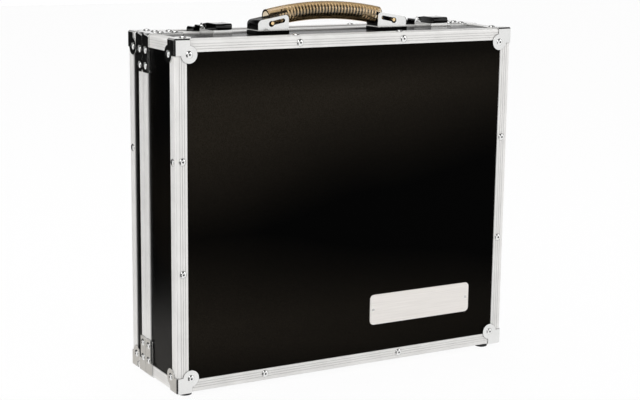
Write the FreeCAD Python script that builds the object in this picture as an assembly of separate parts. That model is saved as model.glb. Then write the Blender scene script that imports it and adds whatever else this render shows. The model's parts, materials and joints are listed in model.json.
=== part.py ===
"""A hard case for guitar pedals: two laminated board halves edged in aluminium, hinged under
the bottom, with two draw latches and a spring-tube carrying handle on top.

Frame: X to the right, Y to the back, Z up. The origin is on the floor under the middle of the case.
"""
import FreeCAD
import Part
import math
import os

os.makedirs("parts", exist_ok=True)

V = FreeCAD.Vector

# Driving dimensions of the case, in millimetres
case_width = 414.0
case_height = 370.0
case_depth = 121.0
rear_depth = 39.0
foot_height = 6.0
board = 5.0
metal = 1.4
seam_gap = 0.3
seat_gap = 0.3
overrun = 2.0

# Angle profiles on the edges
profile_leg = 13.0
profile_round = 2.0
rib_width = 0.9
rib_depth = 0.35
rib_shares = (0.36, 0.56, 0.76)

# Closure profiles round the open edges
closure_band = 11.7
closure_inner = 8.0
groove_width = 3.4
groove_depth = 3.0
tongue_width = 2.0
tongue_height = 2.4
closure_rib_shares = (0.35, 0.65)

# Corner caps
cap_sheet = 1.0
cap_square = 16.5
cap_centre = 15.3
cap_lobe = 9.0
cap_round = 1.6
cap_brace_gap = 0.4

# Corner braces
brace_sheet = 1.2
brace_leg = 40.0
brace_width = 16.8
brace_end_round = 3.0
brace_rivet_inset = 7.4
brace_rivet_shares = (0.4125, 0.825)

# Rivets
rivet_head = 4.0
rivet_crown = 2.2
rivet_height = 1.4
rivet_sides = 6
profile_rivet_inset = 7.5
front_top_rivet_shares = (0.3444, 0.6543)
front_bottom_rivet_shares = (0.2488, 0.6597)
front_side_rivet_shares = (0.6643, 0.3459)
edge_top_rivet_shares = (0.3418, 0.6522)
edge_side_rivet_share = 0.6622

# Badge plate
badge_width = 133.0
badge_height = 34.5
badge_right_inset = 46.3
badge_bottom = 44.0
badge_round = 5.0
badge_sheet = 1.0
badge_rivet = 1.6
badge_rivet_inset = 4.3
badge_rivet_height = 0.6

# Feet
foot_top_radius = 8.5
foot_bottom_radius = 7.3
foot_sides = 16

# Hinges
hinge_length = 70.0
hinge_place_share = 0.72
hinge_sheet = 1.2
hinge_leaf = 11.0
knuckle_radius = 2.5
knuckle_sides = 12
knuckle_count = 5
knuckle_gap = 0.4
knuckle_clear = 0.3
hinge_pin_radius = 1.1
pin_fit = 0.05
hinge_rivet_radius = 2.2
hinge_rivet_height = 0.8
hinge_rivet_spread = 25.0

# Linings
foam_thickness = 8.0
carpet_thickness = 3.0
lining_gap = 0.4

# Latches: heights over the top of the case, depths from the seam and to the back
latch_place_share = 0.5667
latch_width = 22.0
latch_sheet = 1.2
latch_front = -44.0
latch_back_gap = 0.8
latch_flange = 4.6
pivot_y = -14.0
pivot_z = 6.5
ear_radius = 4.0
ear_foot_front = 7.0
ear_foot_back = 5.0
arm_radius = 3.4
pivot_pin_radius = 1.6
lever_width = 18.4
lever_arm = 1.5
lever_overhang = 2.5
lever_bottom = 5.0
lever_top = 11.5
lever_plate_end = -27.5
lever_nose = 2.6
lever_side_low = 7.2
link_y = -22.5
link_z = 5.4
link_pin_radius = 1.2
link_eye_radius = 2.5
link_width = 14.0
link_sheet = 1.5
claw_gap = 0.5
claw_floor_gap = 0.8
keeper_front = 6.0
keeper_end_gap = 2.0
keeper_top = 4.7
keeper_lip = 3.5
keeper_slot_length = 4.0
keeper_side_gap = 0.8
keeper_floor = 0.8
keeper_round = 1.2

# Handle brackets, blocks and pads: places across the case from its middle
handle_from_seam = 28.5
slot_pin_x = 76.0
slot_pin_z = 10.0
bracket_width = 24.5
bracket_outer_reach = 16.7
bracket_inner_reach = 20.0
bracket_sheet = 1.2
bracket_base = 2.0
bracket_low = 12.8
bracket_high = 19.2
bracket_outer_round = 5.0
bracket_inner_round = 4.0
pad_rim = 0.8
pad_end = 1.6
slot_angle = 11.0
slot_length = 13.5
slot_head_radius = 3.2
slot_neck_radius = 2.3
slot_sag = 0.7
block_wall = 7.0
block_rise = 0.6
block_round = 5.0
block_gap = 0.3
screw_radius = 2.4
screw_height = 1.2
screw_sides = 12

# Grip tube, spring and core
tube_radius = 9.75
tube_wall = 2.0
tube_apex = 21.9
tube_bow = 330.0
tube_shift = 7.2
tube_past_pin = 2.0
tube_end_angle = 6.0
tube_relief_angle = 58.0
tube_relief_rise = 1.5
tube_rings = 10
bar_sides = 24
core_rings = 6
spring_radius = 6.55
spring_wire = 0.8
spring_turns = 30
wire_sides = 4
turn_samples = 16
spring_pitch = 3.9
spring_centre = 2.0
core_radius = 5.4
core_gap = 8.0

# Strap ends and their pins
strap_width = 7.0
strap_sheet = 2.0
strap_lift = 3.0
strap_outer_gap = 6.0
strap_tongue = 20.0
eye_radius = 3.8
eye_width = 8.0
handle_pin_radius = 1.7
pin_head_radius = 1.9
pin_head_height = 1.0
pin_slide_gap = 0.1
pin_sides = 16

# Places worked out from the driving dimensions
left = -case_width / 2
right = case_width / 2
front = -case_depth / 2
back = case_depth / 2
bottom = foot_height
top = foot_height + case_height
front_depth = case_depth - rear_depth
seam = front + front_depth
rear_seam = seam + seam_gap
bed_front = groove_depth + metal
bed_rear = metal
rear_cap_inset = cap_centre + cap_lobe + cap_brace_gap + brace_width + seam_gap - rear_depth
badge_left = case_width - badge_right_inset - badge_width


def box(x0, y0, z0, x1, y1, z1):
    """A box between two corners."""
    return Part.makeBox(x1 - x0, y1 - y0, z1 - z0, V(x0, y0, z0))


def prism(points, start, run):
    """A face through points given as vectors, moved by start and extruded along run."""
    moved = [p + start for p in points]
    return Part.Face(Part.makePolygon(moved + [moved[0]])).extrude(run)


def rod(radius, start, run):
    """A cylinder from start along the vector run."""
    return Part.makeCylinder(radius, run.Length, start, run)


def many_sided(place, axis, tall, radius, end_radius, sides):
    """A prism or frustum with a number of sides, from a place along a unit vector on X, Y or Z."""
    turn = V(axis.y, axis.z, axis.x)
    side = axis.cross(turn)
    step = 2 * math.pi / sides

    def ring(middle, reach):
        corners = [middle + turn * (reach * math.cos(step * i)) + side * (reach * math.sin(step * i))
                   for i in range(sides)]
        return Part.makePolygon(corners + [corners[0]])

    return Part.makeLoft([ring(place, radius), ring(place + axis * tall, end_radius)], True, True)


def fused(shapes):
    """One clean solid out of several that meet."""
    whole = shapes[0].fuse(shapes[1:]) if len(shapes) > 1 else shapes[0]
    return whole.removeSplitter()


def save(name, shapes):
    """Write one node, a single solid or a group of separate solids."""
    solids = []
    for shape in shapes:
        solids.extend(shape.Solids)
    for solid in solids:
        if not solid.isValid():
            print("not valid:", name)
    whole = solids[0] if len(solids) == 1 else Part.makeCompound(solids)
    whole.exportStep("parts/" + name + ".step")


def mirrored_x(shape):
    return shape.mirror(V(0, 0, 0), V(1, 0, 0))


def along_y(shape):
    """The edges of a shape that run along Y."""
    return [e for e in shape.Edges if abs(e.tangentAt(e.FirstParameter).y) > math.cos(math.pi / 4)]


def rounded_envelope(y0, y1):
    """The outer block of the case between two depths, its four long corners rounded."""
    block = box(left, y0, bottom, right, y1, top)
    return block.makeFillet(profile_round, along_y(block))


def angle_profile(corner, along_a, along_b, run):
    """A ribbed aluminium angle whose outer corner runs from a point along a vector."""
    def at(u, v):
        return corner + along_a * u + along_b * v

    half = rib_width / 2
    leg_a = []
    leg_b = []
    for share in rib_shares:
        middle = profile_leg * share
        leg_a += [at(middle - half, 0), at(middle, rib_depth), at(middle + half, 0)]
        leg_b += [at(0, middle - half), at(rib_depth, middle), at(0, middle + half)]
    start = at(profile_round, 0)
    end = at(0, profile_round)
    points = [start] + leg_a + [at(profile_leg, 0), at(profile_leg, metal), at(metal, metal)]
    points += [at(metal, profile_leg), at(0, profile_leg)] + leg_b[::-1] + [end]
    lean = profile_round * (1 - math.sqrt(1 / 2))
    edges = [Part.LineSegment(p, q).toShape() for p, q in zip(points, points[1:])]
    edges.append(Part.Arc(end, at(lean, lean), start).toShape())
    return Part.Face(Part.Wire(edges)).extrude(run)


def mitre_wedge(side, reach):
    """The space that belongs to one side of a mitred frame: top, bottom, left or right."""
    outer = {"top left": V(left, 0, top), "top right": V(right, 0, top),
             "bottom left": V(left, 0, bottom), "bottom right": V(right, 0, bottom)}
    near_left = left + reach
    near_right = right - reach
    inner = {"top left": V(near_left, 0, top - reach), "top right": V(near_right, 0, top - reach),
             "bottom left": V(near_left, 0, bottom + reach), "bottom right": V(near_right, 0, bottom + reach)}
    ends = {"top": ("top left", "top right"), "bottom": ("bottom left", "bottom right"),
            "left": ("bottom left", "top left"), "right": ("bottom right", "top right")}
    first, last = ends[side]
    points = [outer[first], outer[last], inner[last], inner[first]]
    return prism(points, V(0, front - overrun, 0), V(0, case_depth + overrun * 2, 0))


SIDES = {
    "top": (V(left, 0, top), V(0, 0, -1), V(case_width, 0, 0)),
    "bottom": (V(left, 0, bottom), V(0, 0, 1), V(case_width, 0, 0)),
    "left": (V(left, 0, bottom), V(1, 0, 0), V(0, 0, case_height)),
    "right": (V(right, 0, bottom), V(-1, 0, 0), V(0, 0, case_height)),
}


def face_frame(side, face_y, into):
    """One mitred angle profile of the frame round the front or back face."""
    corner, inward, run = SIDES[side]
    angle = angle_profile(corner + V(0, face_y, 0), inward, V(0, into, 0), run)
    return angle.common(mitre_wedge(side, profile_leg + overrun))


def depth_profiles(y0, y1):
    """The four angle profiles along the depth of one half."""
    made = []
    for x, inward in ((left, 1), (right, -1)):
        for z, up in ((bottom, 1), (top, -1)):
            made.append(angle_profile(V(x, y0, z), V(inward, 0, 0), V(0, 0, up), V(0, y1 - y0, 0)))
    return made


def closure_section(tongued):
    """The closure profile's section as pairs: depth below the outer face, distance from the seam."""
    bed = bed_rear if tongued else bed_front
    inside = metal + board
    middle = metal + board / 2
    outline = [(0, 0)]
    for share in closure_rib_shares:
        place = closure_band * share
        outline += [(0, place - rib_width / 2), (rib_depth, place), (0, place + rib_width / 2)]
    outline += [(0, closure_band), (metal, closure_band), (metal, bed), (inside, bed)]
    outline += [(inside, closure_inner), (inside + metal, closure_inner), (inside + metal, 0)]
    if tongued:
        half = tongue_width / 2
        outline += [(middle + half, 0), (middle + half, -tongue_height)]
        outline += [(middle - half, -tongue_height), (middle - half, 0)]
    else:
        half = groove_width / 2
        outline += [(middle + half, 0), (middle + half, groove_depth)]
        outline += [(middle - half, groove_depth), (middle - half, 0)]
    return outline


def closure_profiles(face_y, away, tongued):
    """The four mitred closure profiles round one open edge."""
    made = []
    shell = rounded_envelope(front, back)
    for side, (corner, inward, run) in SIDES.items():
        points = [inward * depth + V(0, away * far, 0) for depth, far in closure_section(tongued)]
        bar = prism(points, corner + V(0, face_y, 0), run)
        bar = bar.common(mitre_wedge(side, metal * 2 + board + overrun))
        made.append(bar.common(shell))
    return made


def wall_boards(y0, y1):
    """Top, bottom, left and right boards of one half."""
    x0 = left + metal
    x1 = right - metal
    z0 = bottom + metal
    z1 = top - metal
    return {
        "top": box(x0, y0, z1 - board, x1, y1, z1),
        "bottom": box(x0, y0, z0, x1, y1, z0 + board),
        "left": box(x0, y0, z0 + board, x0 + board, y1, z1 - board),
        "right": box(x1 - board, y0, z0 + board, x1, y1, z1 - board),
    }


def at_corner(shape, x_sign, y_sign, z_top):
    """Carry a shape made at the left, front, bottom corner to any corner of the case."""
    placed = shape
    if x_sign > 0:
        placed = placed.mirror(V(0, 0, 0), V(1, 0, 0))
    if y_sign > 0:
        placed = placed.mirror(V(0, 0, 0), V(0, 1, 0))
    if z_top:
        placed = placed.mirror(V(0, 0, bottom + case_height / 2), V(0, 0, 1))
    return placed


def lobed_plate(centre_a, centre_b, square_a, square_b):
    """A cap's leaf in the XY plane: a square with a round lobe at its inner corner."""
    leaf = box(-cap_sheet, -cap_sheet, -cap_sheet, square_a, square_b, 0)
    return leaf.fuse(rod(cap_lobe, V(centre_a, centre_b, -cap_sheet), V(0, 0, cap_sheet)))


def corner_cap(y_inset):
    """A pressed cap with three lobed leaves, made at the left, front, bottom corner."""
    centre_y = cap_centre - y_inset
    square_y = cap_square - y_inset
    floor_leaf = lobed_plate(cap_centre, centre_y, cap_square, square_y)
    face_leaf = lobed_plate(cap_centre, cap_centre, cap_square, cap_square)
    face_leaf.rotate(V(0, 0, 0), V(1, 0, 0), 90)
    face_leaf = face_leaf.mirror(V(0, 0, 0), V(0, 1, 0))
    side_leaf = lobed_plate(cap_centre, centre_y, cap_square, square_y)
    side_leaf.rotate(V(0, 0, 0), V(0, 1, 0), -90)
    side_leaf = side_leaf.mirror(V(0, 0, 0), V(1, 0, 0))
    cap = fused([floor_leaf, face_leaf, side_leaf])
    edges = []
    for edge in cap.Edges:
        middle = edge.CenterOfMass
        outer = sum(1 for c in (middle.x, middle.y, middle.z) if abs(c + cap_sheet) < cap_sheet / board)
        if outer == 2:
            edges.append(edge)
    cap = cap.makeChamfer(cap_round, edges)
    cap.translate(V(left, front, bottom))
    return cap


def corner_caps(y_sign, y_inset):
    cap = corner_cap(y_inset)
    return [at_corner(cap, x, y_sign, z) for x in (-1, 1) for z in (False, True)]


def corner_brace(face_y, away):
    """A bent steel brace over the left bottom corner, beside the seam, stepped onto the boards."""
    inner = closure_band + seat_gap
    step = profile_leg + seat_gap
    sheet = brace_sheet
    low = metal
    far_in = brace_width

    def leg(u0, u1, s0, s1, t0, t1):
        """A block of the lower leg: along X, away from the seam, and depth into the case."""
        y0, y1 = sorted((face_y + away * s0, face_y + away * s1))
        return box(left + u0, y0, bottom + t0, left + u1, y1, bottom + t1)

    parts = [leg(profile_round, brace_leg, 0, inner + sheet, -sheet, 0)]
    parts.append(leg(profile_round, step + sheet, 0, far_in, -sheet, 0))
    parts.append(leg(step, brace_leg, inner, inner + sheet, -sheet, low))
    parts.append(leg(step, step + sheet, inner, far_in, -sheet, low))
    parts.append(leg(step, brace_leg, inner, far_in, low - sheet, low))
    lower = fused(parts)
    ends = []
    for edge in lower.Edges:
        middle = edge.CenterOfMass
        upright = abs(edge.tangentAt(edge.FirstParameter).z) > metal / board
        if upright and abs(middle.x - left - brace_leg) < seat_gap:
            if min(abs(middle.y - face_y), abs(middle.y - face_y - away * far_in)) < seat_gap:
                ends.append(edge)
    lower = lower.makeFillet(brace_end_round, ends)
    centre = V(left + profile_round, 0, bottom + profile_round)
    side = lower.mirror(centre, V(1, 0, -1))
    y0, y1 = sorted((face_y, face_y + away * far_in))
    reach = profile_round + sheet
    bend = rod(reach, V(centre.x, y0, centre.z), V(0, y1 - y0, 0))
    bend = bend.cut(rod(profile_round, V(centre.x, y0, centre.z), V(0, y1 - y0, 0)))
    bend = bend.common(box(centre.x - reach, y0, centre.z - reach, centre.x, y1, centre.z))
    return fused([lower, bend, side])


def corner_braces(face_y, away):
    brace = corner_brace(face_y, away)
    return [at_corner(brace, x, -1, z) for x in (-1, 1) for z in (False, True)]


def rivet(place, outward, head=rivet_head, crown=rivet_crown, height=rivet_height):
    """A low rivet head: a many-sided frustum that stands on a face along one of the axes."""
    return many_sided(place, outward, height, head, crown, rivet_sides)


def cap_rivets(y_sign, y_inset):
    """One rivet on the face leaf and one on the side leaf of every cap, and one on the top leaves."""
    made = []
    depth = cap_centre - y_inset
    face_y = front - cap_sheet if y_sign < 0 else back + cap_sheet
    row_y = front + depth if y_sign < 0 else back - depth
    for sign in (-1, 1):
        wall = right * sign
        for z in (bottom + cap_centre, top - cap_centre):
            made.append(rivet(V(wall - sign * cap_centre, face_y, z), V(0, y_sign, 0)))
            made.append(rivet(V(wall + sign * cap_sheet, row_y, z), V(sign, 0, 0)))
        made.append(rivet(V(wall - sign * cap_centre, row_y, top + cap_sheet), V(0, 0, 1)))
    return made


def brace_rivet_heads(face_y, away):
    """Two rivets on each leg of each brace."""
    made = []
    y = face_y + away * brace_rivet_inset
    for sign in (-1, 1):
        wall = right * sign
        for share in brace_rivet_shares:
            far = brace_leg * share
            for level, up in ((bottom, -1), (top, 1)):
                made.append(rivet(V(wall - sign * far, y, level + up * brace_sheet), V(0, 0, up)))
                made.append(rivet(V(wall + sign * brace_sheet, y, level - up * far), V(sign, 0, 0)))
    return made


def frame_rivets(face_y, y_sign):
    """Rivets through the angle profiles round one face and through their legs on the walls."""
    made = []
    outward = V(0, y_sign, 0)
    inset = profile_rivet_inset
    row_y = face_y - y_sign * inset
    for share in front_top_rivet_shares:
        made.append(rivet(V(left + case_width * share, face_y, top - inset), outward))
    for share in front_bottom_rivet_shares:
        made.append(rivet(V(left + case_width * share, face_y, bottom + inset), outward))
    for share in front_side_rivet_shares:
        z = bottom + case_height * share
        made.append(rivet(V(left + inset, face_y, z), outward))
        made.append(rivet(V(right - inset, face_y, z), outward))
    for share in edge_top_rivet_shares:
        made.append(rivet(V(left + case_width * share, row_y, top), V(0, 0, 1)))
        made.append(rivet(V(left + case_width * share, row_y, bottom), V(0, 0, -1)))
    for sign in (-1, 1):
        z = bottom + case_height * edge_side_rivet_share
        made.append(rivet(V(right * sign, row_y, z), V(sign, 0, 0)))
    return made


def feet(y_sign, y_inset):
    """Two tapered rubber feet under the bottom caps of one half."""
    made = []
    y = y_sign * (back - cap_centre + y_inset)
    for sign in (-1, 1):
        x = sign * (right - cap_centre)
        tall = foot_height - cap_sheet
        made.append(many_sided(V(x, y, 0), V(0, 0, 1), tall, foot_bottom_radius, foot_top_radius,
                               foot_sides))
    return made


# Hinges under the bottom seam
hinge_axis_z = bottom - knuckle_radius - knuckle_clear
knuckle_pitch = hinge_length / knuckle_count
hinge_centre = (right - brace_leg) * hinge_place_share


def hinge_leaf_set(middle_x, away, first):
    """One leaf of a butt hinge with every other knuckle, on one side of the seam."""
    x0 = middle_x - hinge_length / 2
    y0, y1 = sorted((seam + away * knuckle_clear, seam + away * hinge_leaf))
    leaf = box(x0, y0, bottom - hinge_sheet, x0 + hinge_length, y1, bottom)
    parts = []
    swept = knuckle_radius + knuckle_clear
    for i in range(knuckle_count):
        start = V(x0 + knuckle_pitch * i + knuckle_gap / 2, seam, hinge_axis_z)
        length = knuckle_pitch - knuckle_gap
        if i % 2 == first:
            parts.append(many_sided(start, V(1, 0, 0), length, knuckle_radius, knuckle_radius,
                                    knuckle_sides))
            neck0, neck1 = sorted((seam, seam + away * knuckle_radius))
            neck_top = bottom - knuckle_clear
            parts.append(box(start.x, neck0, hinge_axis_z, start.x + length, neck1, neck_top))
        else:
            gap0, gap1 = sorted((seam - away * swept, seam + away * swept))
            gap_end = start.x + knuckle_pitch
            leaf = leaf.cut(box(start.x - knuckle_gap, gap0, hinge_axis_z, gap_end, gap1, top))
    whole = fused([leaf] + parts)
    bore_start = V(x0 - overrun, seam, hinge_axis_z)
    return whole.cut(rod(hinge_pin_radius + pin_fit, bore_start, V(hinge_length + overrun * 2, 0, 0)))


def hinge_rivets(middle_x, away):
    made = []
    y = seam + away * (hinge_leaf + knuckle_radius) / 2
    for shift in (-hinge_rivet_spread, 0, hinge_rivet_spread):
        place = V(middle_x + shift, y, bottom - hinge_sheet)
        made.append(rivet(place, V(0, 0, -1), hinge_rivet_radius, hinge_rivet_radius / 2,
                          hinge_rivet_height))
    return made


# Draw latches: heights are measured from the top of the case, depths from the seam
handle_end = slot_pin_x + bracket_outer_reach + pad_end
latch_centre = handle_end + (right - brace_leg - handle_end) * latch_place_share
latch_back = -closure_band - latch_back_gap
lever_front = latch_front - lever_overhang
keeper_slot_front = keeper_front + keeper_lip
keeper_back = rear_depth - profile_leg - keeper_end_gap
link_claw_y = keeper_slot_front + claw_gap
link_claw_low = keeper_floor + claw_floor_gap


def side_plate(points, x0, x1):
    """A plate from its outline in depth and height, between two widths."""
    placed = [V(x0, seam + y, top + z) for y, z in points]
    return prism(placed, V(0, 0, 0), V(x1 - x0, 0, 0))


def across(radius, y, z, x0, x1):
    """A round bar across the latch."""
    return rod(radius, V(x0, seam + y, top + z), V(x1 - x0, 0, 0))


def latch_base(x):
    """A folded sheet tray with two rounded ears that carry the lever."""
    half = latch_width / 2
    sheet = latch_sheet
    low = -metal
    level = low + sheet
    floor = [(latch_front, low), (latch_back, low), (latch_back, level), (latch_front, level)]
    lip = [(latch_front, low), (latch_front + sheet, low), (latch_front + sheet, latch_flange),
           (latch_front, latch_flange)]
    parts = [side_plate(floor, x - half, x + half), side_plate(lip, x - half, x + half)]
    ear_start = pivot_y - ear_foot_front
    ear_end = pivot_y + ear_foot_back
    wall = [(latch_front, low), (latch_back, low), (latch_back, seat_gap), (ear_end, seat_gap),
            (ear_end - sheet, pivot_z), (ear_start, pivot_z), (ear_start - sheet, latch_flange),
            (latch_front, latch_flange)]
    for x0 in (x - half, x + half - sheet):
        parts.append(side_plate(wall, x0, x0 + sheet))
        parts.append(across(ear_radius, pivot_y, pivot_z, x0, x0 + sheet))
    whole = fused(parts)
    hole = across(pivot_pin_radius, pivot_y, pivot_z, x - latch_width, x + latch_width)
    return whole.cut(hole)


def pivot_rivets(x):
    """Two stub rivets, one in each ear, on which the lever turns."""
    made = []
    half = latch_width / 2
    inner = lever_width / 2 - lever_arm
    for sign in (-1, 1):
        ends = sorted((x + sign * inner, x + sign * half))
        stub = across(pivot_pin_radius, pivot_y, pivot_z, ends[0], ends[1])
        place = V(x + sign * half, seam + pivot_y, top + pivot_z)
        reach = ear_radius * rivet_crown / rivet_head
        head = rivet(place, V(sign, 0, 0), reach, pivot_pin_radius, latch_sheet)
        made.append(fused([stub, head]))
    return made


def latch_lever(x):
    """A pressed channel with a closed rounded nose and two long arms."""
    half = lever_width / 2
    inner = half - lever_arm
    arm_y = link_y - link_eye_radius
    outline = [(lever_front, lever_bottom), (arm_y, lever_side_low - link_eye_radius),
               (pivot_y, pivot_z - arm_radius), (pivot_y, pivot_z + arm_radius),
               (lever_plate_end + lever_nose, lever_top), (lever_front, lever_top)]
    body = side_plate(outline, x - half, x + half)
    body = body.fuse(across(arm_radius, pivot_y, pivot_z, x - half, x + half))
    nose_edges = []
    for edge in body.Edges:
        middle = edge.CenterOfMass
        if abs(middle.y - seam - lever_front) < seat_gap and edge.Length > lever_width - seat_gap:
            nose_edges.append(edge)
    body = body.makeFillet(lever_nose, nose_edges)
    open_end = pivot_y + ear_foot_back + overrun
    hollow = [(lever_front + lever_nose, lever_bottom - overrun), (open_end, lever_bottom - overrun * 2),
              (open_end, lever_top + overrun), (lever_plate_end, lever_top + overrun),
              (lever_plate_end, lever_top - lever_arm), (lever_front + lever_nose, lever_top - lever_arm)]
    body = body.cut(side_plate(hollow, x - inner, x + inner))
    x0 = x - half - overrun
    x1 = x + half + overrun
    body = body.cut(across(pivot_pin_radius + pin_fit, pivot_y, pivot_z, x0, x1))
    return body.cut(across(link_pin_radius, link_y, link_z, x0, x1))


def latch_link(x):
    """A plate that turns on the link pin, bridges the seam and ends in a claw."""
    half = link_width / 2
    plate_low = keeper_top + seat_gap * 2
    high = plate_low + link_sheet
    eye = link_eye_radius
    claw_end = link_claw_y + link_sheet
    outline = [(link_y, link_z), (link_y + eye, link_z), (link_y + eye * 2, plate_low),
               (link_claw_y, plate_low), (link_claw_y, link_claw_low), (claw_end, link_claw_low),
               (claw_end, high), (link_y + eye, high), (link_y, link_z + eye)]
    plate = side_plate(outline, x - half, x + half)
    plate = plate.fuse(across(eye, link_y, link_z, x - half, x + half))
    bore = link_pin_radius + pin_fit
    return plate.cut(across(bore, link_y, link_z, x - half - overrun, x + half + overrun))


def link_pin(x):
    half = lever_width / 2
    return across(link_pin_radius, link_y, link_z, x - half, x + half)


def keeper(x):
    """A pressed hook block on the rear half with a pocket for the claw."""
    half = latch_width / 2
    band_end = seam_gap + closure_band
    outline = [(keeper_front, 0), (band_end, 0), (band_end, -metal), (keeper_back, -metal),
               (keeper_back, keeper_top - keeper_round * 2), (keeper_back - keeper_round * 2, keeper_top),
               (keeper_front + keeper_round, keeper_top), (keeper_front, keeper_top - keeper_round)]
    body = side_plate(outline, x - half, x + half)
    slot_half = link_width / 2 + keeper_side_gap
    slot_y = seam + keeper_slot_front
    return body.cut(box(x - slot_half, slot_y, top + keeper_floor,
                        x + slot_half, slot_y + keeper_slot_length, top + keeper_top + overrun))


# Handle: made for the right end about the middle of the case, with heights from the top
handle_row = seam - handle_from_seam
bracket_outer = slot_pin_x + bracket_outer_reach
bracket_inner = slot_pin_x - bracket_inner_reach
cheek = bracket_width / 2
tube_top_reach = slot_pin_x + tube_past_pin - tube_shift
strap_outer = slot_pin_x - strap_outer_gap
strap_inner = strap_outer - strap_tongue
core_half = strap_inner - core_gap
slot_run = V(-math.cos(math.radians(slot_angle)), 0, math.sin(math.radians(slot_angle)))


def at_handle(points, y0, y1):
    """A solid from an outline in the handle's side view, between two depths about its row."""
    placed = [V(x, handle_row + y0, top + z) for x, z in points]
    return prism(placed, V(0, 0, 0), V(0, y1 - y0, 0))


def handle_pad():
    """The plastic pad under a bracket, seated on the board between the profiles."""
    return box(bracket_inner - pad_rim, handle_row - cheek, top - metal,
               bracket_outer + pad_end, handle_row + cheek, top + bracket_base)


def slot_cutter(radius_head, radius_neck, y0, y1, sag):
    """The keyhole slot: a round head at the pin, hung a little low, and a neck up the slope."""
    start = V(slot_pin_x, handle_row + y0, top + slot_pin_z)
    head = start + V(sag, 0, -sag)
    depth = V(0, y1 - y0, 0)
    end = start + slot_run * slot_length
    lift = V(slot_run.z, 0, -slot_run.x) * radius_neck
    neck = prism([start + lift, end + lift, end - lift, start - lift], V(0, 0, 0), depth)
    return fused([rod(radius_head, head, depth), neck, rod(radius_neck, end, depth)])


def handle_bracket():
    """A folded chrome channel: a base and two sloping cheeks with keyhole slots."""
    low = bracket_base
    outline = [(bracket_inner, low), (bracket_outer, low), (bracket_outer, bracket_low),
               (bracket_inner, bracket_high)]
    parts = [at_handle([(bracket_inner, low), (bracket_outer, low), (bracket_outer, low + bracket_sheet),
                        (bracket_inner, low + bracket_sheet)], -cheek, cheek)]
    for y0, y1 in ((-cheek, bracket_sheet - cheek), (cheek - bracket_sheet, cheek)):
        plate = at_handle(outline, y0, y1)
        for x, reach in ((bracket_outer, bracket_outer_round), (bracket_inner, bracket_inner_round)):
            corner = [e for e in along_y(plate) if abs(e.CenterOfMass.x - x) < seat_gap
                      and e.CenterOfMass.z > top + bracket_low - seat_gap]
            plate = plate.makeFillet(reach, corner)
        parts.append(plate)
    whole = fused(parts)
    reach = cheek + overrun
    return whole.cut(slot_cutter(slot_head_radius, slot_neck_radius, -reach, reach, slot_sag))


def tube_line(x):
    """The height of the grip's axis over the top of the case, at a place across it."""
    return tube_apex - tube_bow + math.sqrt(tube_bow ** 2 - (x + tube_shift) ** 2)


def cheek_top(x):
    """The height of the cheek's sloping edge at a place across the case."""
    slope = (bracket_high - bracket_low) / (bracket_outer - bracket_inner)
    return bracket_low + (bracket_outer - x) * slope


def handle_block():
    """The moulded block between the cheeks, with a channel for the strap and a slot for its pin."""
    floor = bracket_base + bracket_sheet
    wide = cheek - bracket_sheet - block_gap
    outer = bracket_outer + pad_end
    wall_top = bracket_low + block_rise
    wall_in = outer - block_wall
    wall = at_handle([(wall_in, floor), (outer, floor), (outer, wall_top), (wall_in, wall_top)], -wide, wide)
    crown = [e for e in along_y(wall) if abs(e.CenterOfMass.x - outer) < seat_gap
             and e.CenterOfMass.z > top + wall_top - seat_gap]
    wall = wall.makeFillet(block_round, crown)
    fill = at_handle([(bracket_inner, floor), (wall_in, floor), (wall_in, cheek_top(wall_in) - seat_gap),
                      (bracket_inner, cheek_top(bracket_inner) - seat_gap)], -wide, wide)
    whole = fused([wall, fill])
    half = eye_width / 2 + block_gap
    channel = box(bracket_inner - overrun, handle_row - half, top + slot_pin_z - eye_radius - block_gap,
                  slot_pin_x + eye_radius + block_gap, handle_row + half, top + bracket_high + overrun)
    running = handle_pin_radius + pin_slide_gap
    whole = whole.cut([channel, slot_cutter(running, running, -cheek, cheek, 0)])
    for place in screw_places(1):
        reach = screw_radius + block_gap
        whole = whole.cut(many_sided(place, V(0, 0, 1), bracket_high, reach, reach, screw_sides))
    return whole


def saddle_cut(sign):
    """The round trough in which the grip rests in one block, along the grip's own line."""
    tip = -tube_shift + sign * (tube_top_reach + block_gap)
    spots = [sign * (bracket_inner - overrun), tip]
    start, end = [V(x, handle_row, top + tube_line(x)) for x in spots]
    wide = tube_radius + seat_gap
    trough = rod(wide, start, end - start)
    side = V(0, wide, 0)
    slab = Part.Face(Part.makePolygon([start - side, start + side, end + side, end - side, start - side]))
    return trough.fuse(slab.extrude(V(0, 0, wide * 2)))


def screw_places(sign):
    """Where the two screws of a bracket stand, on its base."""
    middle = (bracket_inner + bracket_outer) / 2
    level = top + bracket_base + bracket_sheet
    return [V(sign * middle, handle_row + y, level) for y in (-cheek / 2, cheek / 2)]


def screws(sign):
    """Two screw heads on the bracket's base, in the wells of its block."""
    return [many_sided(place, V(0, 0, 1), screw_height, screw_radius, screw_radius, screw_sides)
            for place in screw_places(sign)]


def bow_bar(radius, start_x, end_x, rings):
    """A many-sided bar along the grip's bow, as straight lengths between rings."""
    centre = V(-tube_shift, handle_row, top + tube_apex - tube_bow)
    first = math.asin((start_x + tube_shift) / tube_bow)
    last = math.asin((end_x + tube_shift) / tube_bow)
    sections = []
    for i in range(rings):
        turn = first + (last - first) * i / (rings - 1)
        outward = V(math.sin(turn), 0, math.cos(turn))
        angles = [2 * math.pi * k / bar_sides for k in range(bar_sides)]
        corners = [centre + outward * (tube_bow + radius * math.cos(a)) + V(0, radius * math.sin(a), 0)
                   for a in angles]
        sections.append(Part.makePolygon(corners + [corners[0]]))
    return Part.makeLoft(sections, True, True)


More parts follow.
